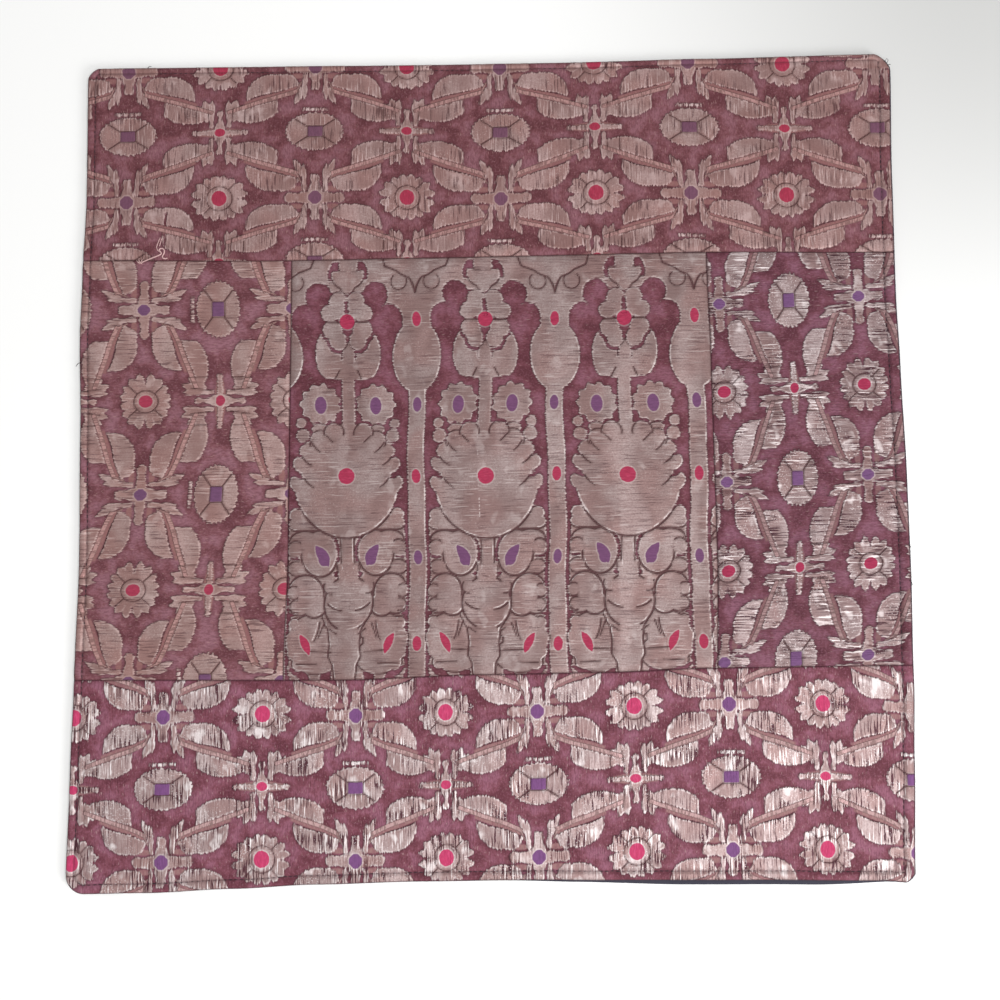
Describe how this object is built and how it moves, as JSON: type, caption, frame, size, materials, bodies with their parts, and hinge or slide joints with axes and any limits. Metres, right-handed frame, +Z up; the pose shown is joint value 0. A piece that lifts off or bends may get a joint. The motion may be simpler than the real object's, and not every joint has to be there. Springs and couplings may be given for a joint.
{
  "type": "pillow sham",
  "caption": "Flat empty pillow sham, a square front pieced from brocade panels and topstitched round its edge, over a plain dark back.",
  "frame": {"origin": "on the surface that the sham lies on, under the middle of its outline", "axes": "+Z up out of the brocade front, +Y towards the top band, +X to the right as the front is seen"},
  "size_m": [0.4086, 0.4108, 0.0035],
  "materials": {
    "brocade_band": "woven silk brocade, wine ground with dull silver-gilt floats running up and down",
    "brocade_side": "the same brocade turned a quarter, floats running across",
    "brocade_centre": "closely woven end-piece brocade, mostly dull silver-gilt floats running across",
    "back_cloth": "plain dark navy cotton, matt",
    "thread": "dark sewing thread and loose metallic thread ends"
  },
  "bodies": {
    "root": {"panel_top": "brocade_band", "panel_left": "brocade_side", "panel_centre": "brocade_centre", "panel_right": "brocade_side", "panel_bottom": "brocade_band", "back_panel": "back_cloth"}
  },
  "joints": []
}
